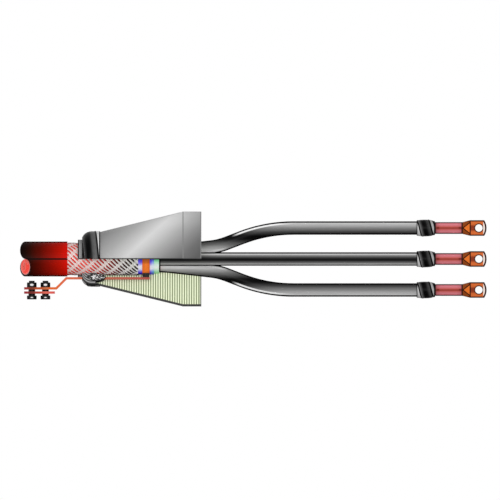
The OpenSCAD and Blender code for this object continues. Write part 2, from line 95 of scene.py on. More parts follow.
# Cable end: its twisted cut, and how far the dye of the cut face reaches
CUT_RISE = 7.6 * MM
CUT_X = SHEATH_LO.x + CUT_RISE
CUT_DYE = (-40 * MM, -38 * MM)

# Armour: pale wires in carriers, and coloured wires that pass over and under them
ARMOUR_LEAD = 144 * MM
PALE_CARRIERS = 14
PALE_WIRES = 5
DARK_WIRES = 22
WIRE_T = 0.32 * MM
BED_R = LEAD_HI.z + 0.09 * MM
BED_COLUMNS = 128

# Mould and packing: the end of the cone, the place and slope of the mould's painted sheen,
# and the lens-shaped section of the packing
CONE_END = MOULD_LO.x + 125.3 * MM
SHEEN_X, SHEEN_Z = 75 * MM, 4 * MM
SHEEN_RUN, SHEEN_FALL = 0.669, 0.743
PACKING_X = (PACKING_LO.x + PACKING_HI.x) / 2
PACKING_HALF = (PACKING_HI.z - ARMOUR_HI.z) / 2
PACKING_BOW = ((PACKING_HI.x - PACKING_X) ** 2 + PACKING_HALF ** 2) / (2 * PACKING_HALF)

# Sleeves: their mouth in the mould, and where the painted highlight lines on the bends come and
# go
SLEEVE_R = (SLEEVE_HI.z - SLEEVE_LO.z) / 2
SLEEVE_MOUTH_X = 132.6 * MM
SLEEVE_STATIONS = [x * MM for x in (
    136, 150, 165, 180, 192, 202, 210, 218, 226, 234,
    242, 250, 258, 266, 274, 282, 292, 304, 320, 500)]
OUTER_HIGHLIGHT_X = (234 * MM, 248 * MM, 290 * MM, 330 * MM)
INNER_HIGHLIGHT_X = (232 * MM, 212 * MM)

# Tapes: where an edge passes the front, and how far a turn moves on
SEAL_EDGE = 23.6 * MM
SEAL_ADVANCE = 20.7 * MM
SEAL_OPENING = -12 * MM
SEAL_SHOULDER = 14 * MM
LUG_TAPE_EDGE = 502.8 * MM
LUG_TAPE_ADVANCE = 17.2 * MM
LUG_TAPE_FOOT = 9.05 * MM
TAPE_LAP = 1.4 * MM
TAPE_T = 0.4 * MM
TAPE_BED = 0.03 * MM
TAPE_COLUMNS_A_TURN = 96
TAPE_ROWS = 16

# Lugs: the end of the barrel, the fold of the palm, its hole and the lugs' spacing
NECK_X = LUG_HI.x - 34.4 * MM
PALM_X = LUG_HI.x - 23.4 * MM
HOLE_X = LUG_HI.x - 11 * MM
LUG_SPREAD = (LUG_TOP_LO.z + LUG_TOP_HI.z) / 2

# Earth bond: the crest of the clamp band, and the bolts
BAND_CREST = 13 * MM
HEX_CORNER = (NUT_HI.y - NUT_LO.y) / math.sqrt(3)
BOLT_X = (NUT_LO.x + HEX_CORNER, NUT_HI.x - HEX_CORNER)
NUT_MIDDLE = (NUT_LO.z + NUT_HI.z) / 2
HEAD_MIDDLE = BOLT_LO.z + 2.75 * MM
THREAD_R = 3.85 * MM
THREAD_PITCH = 1.25 * MM
THREAD_RIDGE = 0.45 * MM

# Stage: the whole frame is 500 points at 1.43 mm
POINT = 1.43 * MM
FRAME_POINTS = 500
AXIS_POINT = (67.4, 259)
VIEW_DISTANCE = 2.0
FLOOR_HALF = 4.0
FLOOR_GAP = 0.5 * MM
FLOOR_TONE = 0.86
LAMPS = (
    # name, place, aim, size, power
    ("key", (-0.1, -2.6, 0.6), (0.25, 0, 0), (1.8, 1.0), 19),
    ("fill", (0.35, -2.4, 0.03), (0.3, 0, 0.02), (1.8, 0.16), 19),
    ("side", (-1.8, -0.15, 0.0), (-0.07, 0, 0), (0.3, 0.3), 10),
)


def tone(red, green, blue):
    """Linear colour of a tone given in 0-255."""
    def linear(v):
        v /= 255
        return v / 12.92 if v <= 0.04045 else ((v + 0.055) / 1.055) ** 2.4
    return (linear(red), linear(green), linear(blue), 1.0)


def grey(level):
    """Linear colour of a grey given in 0-255."""
    return tone(level, level, level)


def plain(level):
    """Grey of a linear level."""
    return (level, level, level, 1.0)


# Dyed layers at the cut end of the cable
CUT_FILLER = tone(255, 66, 52)
CUT_INSULATION = tone(255, 104, 94)
CUT_BELT = tone(255, 90, 78)
CUT_LEAD = tone(255, 122, 112)


class Finish:
    """A material with its shader and the few node recipes the pieces share."""

    def __init__(self, name, **sockets):
        self.material = bpy.data.materials.new(name)
        self.material.use_nodes = True
        self.tree = self.material.node_tree
        self.shader = self.tree.nodes["Principled BSDF"]
        self.coords = self.tree.nodes.new("ShaderNodeTexCoord").outputs["Object"]
        split = self.tree.nodes.new("ShaderNodeSeparateXYZ")
        self.tree.links.new(self.coords, split.inputs[0])
        self.x, self.y, self.z = split.outputs
        for label, value in sockets.items():
            self.shader.inputs[label.replace("_", " ")].default_value = value

    def feed(self, socket, value):
        """Link a socket to a value, or set it."""
        if isinstance(value, bpy.types.NodeSocket):
            self.tree.links.new(value, socket)
        else:
            socket.default_value = value

    def calc(self, operation, a, b=0.0, c=0.0):
        node = self.tree.nodes.new("ShaderNodeMath")
        node.operation = operation
        for socket, value in zip(node.inputs, (a, b, c)):
            self.feed(socket, value)
        return node.outputs[0]

    def size(self, value):
        return self.calc("ABSOLUTE", value)

    def less(self, value, start):
        return self.calc("SUBTRACT", value, start)

    def both(self, a, b):
        return self.calc("MULTIPLY", a, b)

    def either(self, a, b):
        return self.calc("MAXIMUM", a, b)

    def squares(self, a, b):
        return self.calc("ADD", self.calc("POWER", a, 2.0), self.calc("POWER", b, 2.0))

    def length(self, a, b):
        return self.calc("SQRT", self.squares(a, b))

    def wave(self, value, length):
        return self.calc("SINE", self.calc("MULTIPLY", value, TURN / length))

    def fade(self, value, stops):
        """Colour that runs through stops of (place, colour)."""
        low, high = stops[0][0], stops[-1][0]
        span = self.tree.nodes.new("ShaderNodeMapRange")
        self.feed(span.inputs["Value"], value)
        span.inputs["From Min"].default_value = low
        span.inputs["From Max"].default_value = high
        ramp = self.tree.nodes.new("ShaderNodeValToRGB")
        points = ramp.color_ramp.elements
        while len(points) < len(stops):
            points.new(0.5)
        for point, (place, colour) in zip(points, stops):
            point.position = (place - low) / (high - low)
            point.color = colour
        self.tree.links.new(span.outputs[0], ramp.inputs[0])
        return ramp.outputs[0]

    def tones(self, value, stops, unit=1.0):
        """Tones in 0-255 at places counted in a unit."""
        return self.fade(value, [(place * unit, tone(*levels)) for place, levels in stops])

    def greys(self, value, stops, unit=1.0):
        """Greys in 0-255 at places counted in a unit."""
        return self.fade(value, [(place * unit, grey(level)) for place, level in stops])

    def mask(self, value, start, end):
        """0 up to start, 1 from end on."""
        span = self.tree.nodes.new("ShaderNodeMapRange")
        span.interpolation_type = "SMOOTHSTEP"
        self.feed(span.inputs["Value"], value)
        span.inputs["From Min"].default_value = start
        span.inputs["From Max"].default_value = end
        return span.outputs[0]

    def near(self, value, centre, outer, inner):
        """0 beyond outer from a centre, 1 within inner of it."""
        return self.mask(self.size(self.less(value, centre)), outer, inner)

    def span(self, value, rise, full, fall, end):
        """0 up to rise, 1 from full to fall, 0 from end on."""
        return self.both(self.mask(value, rise, full), self.mask(value, end, fall))

    def mottle(self, size, stretch=(1, 1, 1)):
        """Noise of a size in metres, stretched along the axes."""
        mapping = self.tree.nodes.new("ShaderNodeMapping")
        mapping.inputs["Scale"].default_value = [1 / (size * s) for s in stretch]
        noise = self.tree.nodes.new("ShaderNodeTexNoise")
        noise.inputs["Scale"].default_value = 1.0
        noise.inputs["Detail"].default_value = 3.0
        self.tree.links.new(self.coords, mapping.inputs[0])
        self.tree.links.new(mapping.outputs[0], noise.inputs["Vector"])
        return noise.outputs[0]

    def attribute(self, name):
        node = self.tree.nodes.new("ShaderNodeAttribute")
        node.attribute_name = name
        return node.outputs["Fac"]

    def mix(self, factor, a, b, blend="MIX"):
        node = self.tree.nodes.new("ShaderNodeMix")
        node.data_type = "RGBA"
        node.blend_type = blend
        for label, value in (("Factor_Float", factor), ("A_Color", a), ("B_Color", b)):
            socket = next(s for s in node.inputs if s.identifier == label)
            self.feed(socket, value)
        return next(s for s in node.outputs if s.identifier == "Result_Color")

    def times(self, a, b):
        return self.mix(1.0, a, b, "MULTIPLY")

    def shift(self, colour, pattern, low, high):
        """The colour times a level between low and high that follows a pattern."""
        return self.times(colour, self.fade(pattern, [(0.3, plain(low)), (0.7, plain(high))]))

    def roughen(self, pattern, low, high):
        """A roughness between low and high that follows a pattern."""
        span = self.tree.nodes.new("ShaderNodeMapRange")
        self.feed(span.inputs["Value"], pattern)
        span.inputs["From Min"].default_value = 0.3
        span.inputs["From Max"].default_value = 0.7
        span.inputs["To Min"].default_value = low
        span.inputs["To Max"].default_value = high
        self.tree.links.new(span.outputs[0], self.shader.inputs["Roughness"])

    def dull(self, where, level):
        """A specular level that falls to none where a mask is 1."""
        falling = self.calc("MULTIPLY_ADD", where, -level, level)
        self.feed(self.shader.inputs["Specular IOR Level"], falling)

    def emboss(self, height, depth, strength):
        bump = self.tree.nodes.new("ShaderNodeBump")
        bump.inputs["Strength"].default_value = strength
        bump.inputs["Distance"].default_value = depth
        self.tree.links.new(height, bump.inputs["Height"])
        self.tree.links.new(bump.outputs[0], self.shader.inputs["Normal"])

    def colour(self, value):
        """The finished material."""
        self.feed(self.shader.inputs["Base Color"], value)
        return self.material


def sheath_finish():
    """Extruded red sheath, black towards its cut end, with painted shade along its top and
    bottom, and a seam.
    """
    f = Finish("sheath_red")
    run = f.tones(f.x, [
        (-68, (4, 1, 0)), (-60, (20, 3, 0)), (-53, (41, 6, 0)), (-39, (87, 8, 0)),
        (-25, (133, 12, 2)), (-10, (176, 16, 2)), (0, (206, 16, 7)),
    ], MM)
    streaks = f.mottle(1.2 * MM, (30, 1, 1))
    height = f.size(f.z)
    beside_seam = f.mask(height, 0.8 * MM, 1.5 * MM)
    # painted shade: darker near the top and bottom of the sheath
    painted_edge_shade = f.mask(height, SHEATH_HI.z - 2.4 * MM, SHEATH_HI.z - 1.0 * MM)
    extruded = f.shift(run, streaks, 0.9, 1.08)
    body = f.mix(f.both(painted_edge_shade, 0.9), extruded, tone(26, 2, 0))
    f.dull(painted_edge_shade, 0.03)
    f.roughen(streaks, 0.38, 0.55)
    f.emboss(streaks, 0.05 * MM, 0.4)
    return f.colour(f.mix(beside_seam, tone(12, 1, 0), body))


def wire_finish(name, stops):
    """Braid wire whose colour changes along the cable, with painted shade along its top and
    bottom.
    """
    f = Finish(name, Specular_IOR_Level=0.3, Metallic=0.1)
    drawn = f.mottle(0.5 * MM, (3, 1, 1))
    f.roughen(drawn, 0.35, 0.55)
    # painted shade: darker near the top and bottom of the braid
    painted_edge_shade = f.mask(f.size(f.z), ARMOUR_HI.z - 1.8 * MM, ARMOUR_HI.z - 0.4 * MM)
    run = f.shift(f.tones(f.x, stops, MM), drawn, 0.85, 1.1)
    return f.colour(f.mix(f.both(painted_edge_shade, 0.85), run, grey(24)))


def lead_finish():
    """Bare lead with a painted blue sheen, palest half way round, tinned at its edge."""
    f = Finish("lead_blue", Specular_IOR_Level=0.4)
    scrape = f.mottle(1.0 * MM, (1, 6, 6))
    height = f.size(f.z)
    # painted sheen by height: deep blue at the axis and at the top, palest half way up
    blue = f.tones(height, [
        (0, (6, 0, 112)), (1.6, (44, 14, 212)), (3, (70, 32, 245)), (6, (138, 126, 255)),
        (10, (236, 234, 255)), (14, (246, 246, 255)), (17, (160, 156, 255)),
        (20, (64, 36, 255)), (22, (56, 24, 250)),
    ], MM)
    # the tinned edge has its own painted sheen by height
    tinned = f.tones(height, [
        (0, (16, 30, 124)), (1.6, (58, 84, 214)), (4, (124, 166, 255)), (10, (232, 248, 255)),
        (14, (232, 248, 255)), (18, (120, 184, 246)), (21, (60, 110, 214)),
    ], MM)
    f.roughen(scrape, 0.3, 0.5)
    f.emboss(scrape, 0.04 * MM, 0.5)
    at_edge = f.mask(f.x, LEAD_HI.x - 4.5 * MM, LEAD_HI.x - 1.5 * MM)
    bare = f.shift(f.mix(at_edge, blue, tinned), scrape, 0.92, 1.04)
    return f.colour(f.mix(f.mask(f.x, *CUT_DYE), CUT_LEAD, bare))


def belt_finish():
    """Belt paper in pale green with a painted sheen by height, wound in layers."""
    f = Finish("belt_green", Specular_IOR_Level=0.2)
    fibre = f.mottle(0.6 * MM, (1, 8, 8))
    # painted sheen: darker at the axis and at the top, palest part way up
    green = f.tones(f.size(f.z), [
        (0, (28, 84, 54)), (1.4, (118, 214, 160)), (4, (180, 250, 206)), (8, (228, 255, 244)),
        (12, (248, 255, 252)), (16, (216, 255, 228)), (21, (150, 246, 152)),
    ], MM)
    f.roughen(fibre, 0.6, 0.8)
    f.emboss(fibre, 0.08 * MM, 0.6)
    bare = f.shift(green, fibre, 0.88, 1.05)
    return f.colour(f.mix(f.mask(f.x, *CUT_DYE), CUT_BELT, bare))


def cut_face_finish(name, colour):
    """Fibrous pink-red filling at the cut end of the cable."""
    f = Finish(name, Specular_IOR_Level=0.2)
    fibre = f.mottle(0.9 * MM)
    f.roughen(fibre, 0.55, 0.75)
    f.emboss(fibre, 0.1 * MM, 0.5)
    return f.colour(f.shift(colour, fibre, 0.93, 1.05))


def conductor_finish():
    """Stranded copper: round wires show at the cut."""
    f = Finish("conductor_copper", Metallic=0.1, Specular_IOR_Level=0.2, Roughness=0.4)
    strands_a_metre = 430
    mapping = f.tree.nodes.new("ShaderNodeMapping")
    mapping.inputs["Scale"].default_value = (0, strands_a_metre, strands_a_metre)
    strands = f.tree.nodes.new("ShaderNodeTexVoronoi")
    strands.feature = "DISTANCE_TO_EDGE"
    strands.inputs["Scale"].default_value = 1.0
    f.tree.links.new(f.coords, mapping.inputs[0])
    f.tree.links.new(mapping.outputs[0], strands.inputs["Vector"])
    return f.colour(f.tones(strands.outputs[0], [
        (0.0, (160, 34, 26)), (0.08, (226, 66, 50)), (0.15, (255, 88, 66)), (0.5, (255, 96, 72)),
    ]))


def sleeve_finish(name, stops, core, lean=0.0):
    """Black shrink sleeve: a painted grey sheen by height, painted highlight lines on a bend, and
    painted shade along its edges and at its mouth.
    """
    f = Finish(name)
    drag = f.mottle(1.5 * MM, (25, 1, 1))
    # painted sheen: grey levels by height
    sheen = f.greys(f.size(f.calc("ADD", f.z, lean)), stops, MM)
    middle, half = sleeve_run(core)
    above = f.less(f.size(f.z), f.fade(f.x, middle))
    across = f.calc("DIVIDE", above, f.fade(f.x, half))
    if core == BENT_SLEEVE:
        # painted highlight lines near the outer and inner edges of the bend
        outer = f.both(f.span(f.x, *OUTER_HIGHLIGHT_X), f.span(across, 0.52, 0.64, 0.8, 0.9))
        inner = f.both(f.mask(f.x, *INNER_HIGHLIGHT_X), f.span(across, -0.86, -0.78, -0.62, -0.48))
        sheen = f.mix(inner, f.mix(outer, sheen, grey(255)), grey(252))
    # painted shade at the mouth in the mould and along the top and bottom edges of the sleeve
    mouth = f.mask(f.x, SLEEVE_MOUTH_X + 1.0 * MM, SLEEVE_MOUTH_X)
    edge = f.either(f.mask(f.size(across), 0.79, 0.84), mouth)
    f.dull(edge, 0.05)
    f.roughen(drag, 0.35, 0.5)
    f.emboss(drag, 0.04 * MM, 0.4)
    return f.colour(f.mix(edge, f.shift(sheen, drag, 0.94, 1.05), grey(4)))


def sleeve_run(core):
    """Stops of the middle height and half height of a sleeve along X, from its solid."""
    low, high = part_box(core)
    y = (low.y + high.y) / 2
    solid = BVHTree.FromObject(solids[core], bpy.context.evaluated_depsgraph_get())
    middle, half = [], []
    for x in SLEEVE_STATIONS:
        top, bottom = SLEEVE_R, -SLEEVE_R
        if core == BENT_SLEEVE:
            top = solid.ray_cast(Vector((x, y, 1)), Vector((0, 0, -1)))[0].z
            bottom = solid.ray_cast(Vector((x, y, -1)), Vector((0, 0, 1)))[0].z
        middle.append((x, plain((top + bottom) / 2)))
        half.append((x, plain((top - bottom) / 2)))
    return middle, half


def tape_finish(name, middle, ends, start, stop):
    """Black tape with a painted sheen across its width, painted pale highlights on its first and
    last turns, and painted shade at both ends.
    """
    f = Finish(name, Specular_IOR_Level=0.04)
    wrinkle = f.mottle(1.1 * MM, (1, 5, 5))
    across = f.attribute("across")
    # painted highlights: the first and last turns take the paler stops
    end_turn = f.mask(f.size(f.attribute("coil")), 0.42, 0.58)
    sheen = f.mix(end_turn, f.greys(across, middle), f.greys(across, ends))
    # painted shade where the tape ends against the next part
    limit = f.either(f.mask(f.x, start + 1.5 * MM, start + 0.9 * MM),
                     f.mask(f.x, stop - 1.7 * MM, stop - 1.2 * MM))
    f.roughen(wrinkle, 0.28, 0.45)
    f.emboss(wrinkle, 0.1 * MM, 0.5)
    return f.colour(f.mix(limit, f.shift(sheen, wrinkle, 0.8, 1.15), grey(4)))


def seal_section_finish():
    """Black tape whose cut face shows the grey of its layers."""
    f = Finish("seal_tape_section", Specular_IOR_Level=0.04, Roughness=0.5)
    into = f.calc("MINIMUM", f.calc("DIVIDE", f.less(f.x, SEAL_LO.x), SEAL_SHOULDER), 1.0)
    rise = f.calc("SQRT", f.less(1.0, f.calc("POWER", f.less(1.0, into), 2.0)))
    outside = f.calc("MULTIPLY_ADD", rise, SEAL_HI.z - COLLAR_HI.z, COLLAR_HI.z)
    depth = f.less(outside, f.length(f.y, f.z))
    layers = f.greys(f.wave(depth, 3.2 * MM), [(-1.0, 52), (-0.4, 78), (0.2, 136), (1.0, 168)])
    on_face = f.near(f.y, SEAL_OPENING, 0.4 * MM, 0.2 * MM)
    cut = f.both(on_face, f.mask(depth, 1.4 * MM, 2.0 * MM))
    below = f.mask(f.z, -1 * MM, -2 * MM)
    return f.colour(f.mix(f.both(cut, below), grey(5), layers))


def mould_finish():
    """Satin grey moulding with a painted soft slanting sheen, and painted shade towards the axis
    and along its crown; its sawn edge is dark.
    """
    f = Finish("mould_grey", Specular_IOR_Level=0.25)
    rounding = f.calc("MULTIPLY", f.mask(f.y, 0, 30 * MM), 22 * MM)
    height = f.length(f.z, rounding)
    slant = f.less(f.calc("MULTIPLY", f.less(f.x, SHEEN_X), SHEEN_RUN),
                   f.calc("MULTIPLY", f.less(height, SHEEN_Z), SHEEN_FALL))
    # painted sheen along a slanting line
    sheen = f.greys(slant, [
        (-39, 143), (-16, 183), (-1, 215), (6.5, 231), (14, 218), (29, 183), (44, 149),
        (59, 113), (74, 83),
    ], MM)
    # painted shade: darker towards the axis, full tone at the top
    painted_height_shade = f.fade(height, [(z * MM, plain(level)) for z, level in (
        (0, 0.70), (12, 0.74), (27, 0.80), (40, 0.85), (53, 0.96), (64, 1.0))])
    depth = f.size(f.y)
    # painted shade along the top crown
    crown_shade = f.both(f.mask(depth, 16 * MM, 1 * MM), f.mask(f.z, 10 * MM, 20 * MM))
    crease = f.either(f.near(f.x, CONE_END, 1.0 * MM, 0.5 * MM),
                      f.mask(f.x, MOULD_HI.x - 1.8 * MM, MOULD_HI.x - 1.2 * MM))
    line = f.either(f.both(crease, 0.85), f.both(crown_shade, 0.5))
    sawn = f.both(f.mask(depth, 0.7 * MM, 0.3 * MM), f.mask(f.z, -20 * MM, -21 * MM))
    grain = f.mottle(0.7 * MM)
    f.roughen(grain, 0.42, 0.55)
    f.emboss(grain, 0.03 * MM, 0.5)
    body = f.mix(line, f.shift(f.times(sheen, painted_height_shade), grain, 0.97, 1.03), grey(122))
    return f.colour(f.mix(f.either(sawn, section_edge_shade(f)), body, grey(40)))


def section_edge_shade(f):
    """Painted shade along the level cut in front: a dark line just above it."""
    in_front = f.mask(f.y, -8 * MM, -10 * MM)
    return f.both(in_front, f.span(f.z, -1.0 * MM, -0.5 * MM, 1.0 * MM, 1.5 * MM))


def resin_finish():
    """Pale green cast resin with the fine upright marks of the saw."""
    f = Finish("resin_green", Specular_IOR_Level=0.3)
    teeth = f.wave(f.x, 2.4 * POINT)
    cloud = f.mottle(9 * MM)
    marks = f.tones(teeth, [
        (-1.0, (98, 110, 70)), (-0.5, (142, 156, 112)), (0.1, (236, 247, 206)),
        (1.0, (245, 250, 222)),
    ])
    f.roughen(cloud, 0.4, 0.55)
    f.emboss(teeth, 0.15 * MM, 0.5)
    brim = f.mask(f.x, RESIN_HI.x - 2.0 * MM, RESIN_HI.x - 1.4 * MM)
    sawn = f.shift(marks, cloud, 0.97, 1.02)
    return f.colour(f.mix(f.both(brim, 0.8), sawn, tone(150, 154, 140)))


def packing_finish():
    """Packing of black and white yarn pressed together, with a tarred skin."""
    f = Finish("packing_yarn", Specular_IOR_Level=0.3)
    noise = f.tree.nodes.new("ShaderNodeTexNoise")
    noise.inputs["Scale"].default_value = 1 / (5.5 * MM)
    noise.inputs["Detail"].default_value = 1.0
    noise.inputs["Distortion"].default_value = 2.2
    f.tree.links.new(f.coords, noise.inputs["Vector"])
    curl = noise.outputs[0]
    f.roughen(curl, 0.5, 0.7)
    f.emboss(curl, 0.5 * MM, 0.6)
    yarn = f.greys(curl, [
        (0.40, 6), (0.50, 10), (0.535, 228), (0.60, 248), (0.635, 8),
    ])
    along = f.calc("POWER", f.less(f.x, PACKING_X), 2.0)
    bow = f.less(f.calc("SQRT", f.less(PACKING_BOW ** 2, along)), PACKING_BOW - PACKING_HALF)
    from_middle = f.size(f.less(f.length(f.y, f.z), PACKING_HI.z - PACKING_HALF))
    skin = f.mask(f.less(bow, from_middle), 1.8 * MM, 1.2 * MM)
    return f.colour(f.mix(skin, yarn, grey(6)))


def collar_finish():
    """Pale grey binding, laid in threads."""
    f = Finish("binding_grey", Specular_IOR_Level=0.2, Roughness=0.7)
    laid = f.greys(f.x, [
        (COLLAR_LO.x, 14), (COLLAR_LO.x + 1.3 * MM, 20), (COLLAR_LO.x + 1.9 * MM, 160),
        (COLLAR_LO.x + 3 * MM, 146), (COLLAR_HI.x, 136),
    ])
    f.emboss(f.wave(f.x, 1.2 * MM), 0.2 * MM, 0.5)
    # painted shade line along the level cut in front
    return f.colour(f.mix(section_edge_shade(f), laid, grey(20)))


def copper_finish(name, stops, metal=0.15, rounded=False):
    """Worn copper strip, brushed and spotted with stain; a rounded one has a painted highlight at
    its crest.
    """
    f = Finish(name, Metallic=metal, Specular_IOR_Level=0.08)
    brushed = f.mottle(0.7 * MM, (18, 1, 1))
    stain = f.mottle(6 * MM)
    run = f.tones(f.x, stops, MM)
    if rounded:
        # painted highlight: brightest at the crest of the band, darker towards its edges
        from_crest = f.size(f.less(f.size(f.z), BAND_CREST))
        run = f.times(run, f.greys(from_crest, [(5, 255), (8, 214), (11, 190)], MM))
    f.roughen(brushed, 0.35, 0.5)
    f.emboss(brushed, 0.03 * MM, 0.4)
    return f.colour(f.shift(f.shift(run, stain, 0.9, 1.08), brushed, 0.9, 1.08))


def lug_finish():
    """Copper lug: the crimped barrel is rose, the palm orange, with painted shade in its creases.
    """
    f = Finish("lug_copper", Metallic=0.1, Specular_IOR_Level=0.07)
    worked = f.mottle(0.8 * MM, (8, 1, 1))
    f.roughen(worked, 0.34, 0.48)
    f.emboss(worked, 0.03 * MM, 0.4)
    height = f.size(f.calc("WRAP", f.z, LUG_SPREAD / 2, -LUG_SPREAD / 2))
    past_barrel = f.mask(f.x, NECK_X + 0.2 * MM, NECK_X + 0.7 * MM)
    copper = f.mix(past_barrel, barrel_tone(f, height), palm_tone(f, height))
    worn = f.shift(copper, worked, 0.95, 1.04)
    return f.colour(f.mix(lug_crease_shade(f, height), worn, tone(48, 10, 3)))


def barrel_tone(f, height):
    """Rose, with painted shade: darker on the axis, at its top and bottom edges and at both ends
    of the barrel.
    """
    # painted reflection and shade by height: dark on the axis, pale part way up, dark at the
    # edges
    rose = f.tones(height, [
        (0, (142, 50, 40)), (0.8, (150, 58, 46)), (1.8, (196, 92, 86)), (4.4, (226, 130, 140)),
        (6.4, (230, 136, 146)), (6.9, (200, 96, 102)), (7.3, (92, 16, 22)), (8.5, (40, 4, 8)),
    ], MM)
    ends = f.greys(f.less(f.x, NECK_X), [
        (-40, 20), (-38.6, 60), (-37, 205), (-31, 242), (-9, 245), (-2.1, 222), (-1.1, 44),
        (1, 44),
    ], MM)
    return f.times(rose, ends)


def palm_tone(f, height):
    """Orange, darker on the middle of the palm by the hole, with a painted shade ring round the
    hole and a painted highlight on the bevelled end.
    """
    # painted shade: a dark ring round the hole
    ring = f.mask(f.length(height, f.less(f.x, HOLE_X)), 7.0 * MM, 6.4 * MM)
    darker_by_hole = f.both(f.mask(height, 6 * MM, 2 * MM),
                     f.mask(f.x, HOLE_X + 2 * MM, HOLE_X - 4 * MM))
    face = f.mix(darker_by_hole, tone(190, 92, 36), tone(122, 42, 8))
    in_neck = f.mask(f.x, PALM_X, PALM_X - 1 * MM)
    face = f.mix(in_neck, f.mix(ring, face, tone(52, 12, 2)), tone(238, 122, 46))
    # painted highlight on the bevelled end
    bevel_highlight = f.both(f.mask(f.x, LUG_HI.x - 5.2 * MM, LUG_HI.x - 4.4 * MM),
                   f.mask(height, 9.6 * MM, 8.8 * MM))
    return f.mix(bevel_highlight, face, tone(246, 232, 222))


def lug_crease_shade(f, height):
    """Painted shade in the fold at the palm, along the palm's rim, and in the press marks of the
    neck.
    """
    fold = f.near(f.x, PALM_X, 1.1 * MM, 0.6 * MM)
    rounded = f.calc("ADD", f.x, f.calc("DIVIDE", f.calc("POWER", height, 2.0), 33 * MM))
    rim = f.either(f.mask(height, 9.0 * MM, 9.6 * MM),
                   f.mask(rounded, LUG_HI.x - 2.6 * MM, LUG_HI.x - 2.0 * MM))
    pressed = f.less(f.calc("MULTIPLY", f.less(f.x, NECK_X + 0.6 * MM), 0.8), height)
    press_line = f.mask(f.size(pressed), 1.3 * MM, 0.7 * MM)
    shoulder = f.both(f.mask(pressed, 0.3 * MM, -0.5 * MM), 0.7)
    in_neck = f.span(f.x, NECK_X, NECK_X + 0.4 * MM, PALM_X - 0.2 * MM, PALM_X + 0.2 * MM)
    neck = f.both(in_neck, f.either(press_line, shoulder))
    return f.either(f.either(fold, rim), neck)


def steel_finish():
    """Black oxide steel, unevenly dark, with painted highlights on the flats of nuts and heads.
    """
    f = Finish("steel_black", Specular_IOR_Level=0.06)
    worn = f.mottle(1.4 * MM)
    f.roughen(worn, 0.2, 0.4)
    black = f.greys(worn, [(0.3, 2), (0.7, 9)])
    return f.colour(f.mix(painted_flat_highlights(f), black, grey(236)))


def painted_flat_highlights(f):
    """Painted highlight spots in the middle of the front and back flats of nuts and heads."""
    beside = f.calc("MINIMUM", *[f.size(f.less(f.x, x)) for x in BOLT_X])

    def spot(level, half_width, half_height):
        return f.squares(f.calc("DIVIDE", beside, half_width),
                         f.calc("DIVIDE", f.less(f.z, level), half_height))

    from_spot = f.calc("MINIMUM", spot(NUT_MIDDLE, 2.6 * MM, 1.6 * MM),
                       spot(HEAD_MIDDLE, 1.9 * MM, 0.8 * MM))
    return f.both(f.mask(from_spot, 1.3, 0.6), f.mask(f.size(f.y), 5 * MM, 5.5 * MM))


class Tree:
    """A Geometry Nodes tree with named inputs."""

    def __init__(self, name, inputs):
        self.group = bpy.data.node_groups.new(name, "GeometryNodeTree")
        ports = [(label, "INPUT", kind) for label, kind in inputs]
        for label, side, kind in ports + [("Geometry", "OUTPUT", "Geometry")]:
            self.group.interface.new_socket(label, in_out=side, socket_type="NodeSocket" + kind)
        self.source = self.group.nodes.new("NodeGroupInput")
        self.result = self.group.nodes.new("NodeGroupOutput")

    def input(self, label):
        return self.source.outputs[label]

    def feed(self, socket, value):
        """Link a socket to a value, or set it."""
        if isinstance(value, bpy.types.NodeSocket):
            self.group.links.new(value, socket)
        else:
            socket.default_value = value

    def add(self, kind, settings=None, **sockets):
        """The first output of a new node with these settings and inputs."""
        node = self.group.nodes.new(kind)
        for label, value in (settings or {}).items():
            setattr(node, label, value)
        for label, value in sockets.items():
            self.feed(node.inputs[label.replace("_", " ")], value)
        return node.outputs[0]

    def calc(self, operation, a, b=0.0, c=0.0):
        node = self.group.nodes.new("ShaderNodeMath")
        node.operation = operation
        for socket, value in zip(node.inputs, (a, b, c)):
            self.feed(socket, value)
        return node.outputs[0]

    def point(self, x, y, z):
        return self.add("ShaderNodeCombineXYZ", X=x, Y=y, Z=z)

    def finish(self, geometry):
        self.feed(self.result.inputs[0], geometry)
        return self.group


def placed(name, data):
    """A new object in the scene."""
    piece = bpy.data.objects.new(name, data)
    bpy.context.collection.objects.link(piece)
    return piece


def baked(piece):
    """The piece with its modifiers worked into its mesh."""
    evaluated = piece.evaluated_get(bpy.context.evaluated_depsgraph_get())
    piece.data = bpy.data.meshes.new_from_object(evaluated)
    piece.data.name = piece.name
    piece.modifiers.clear()
    return piece


def set_finish(piece, material):
    """Give a piece one material."""
    piece.data.materials.clear()
    piece.data.materials.append(material)


def ride(piece, slot, *replaced):
    """Hand a piece over with the fixed body, and hide the solids it stands for; the slot is not
    used.
    """
    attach(piece, "root")
    if replaced:
        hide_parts(*replaced)


def grown(name, group, values):
    """A plain mesh object from a geometry tree."""
    piece = placed(name, bpy.data.meshes.new(name + "_seed"))
    modifier = piece.modifiers.new("tree", "NODES")
    modifier.node_group = group
    for item in group.interface.items_tree:
        if item.in_out == "INPUT" and item.name in values:
            modifier[item.identifier] = values[item.name]
    piece.update_tag()
    return baked(piece)


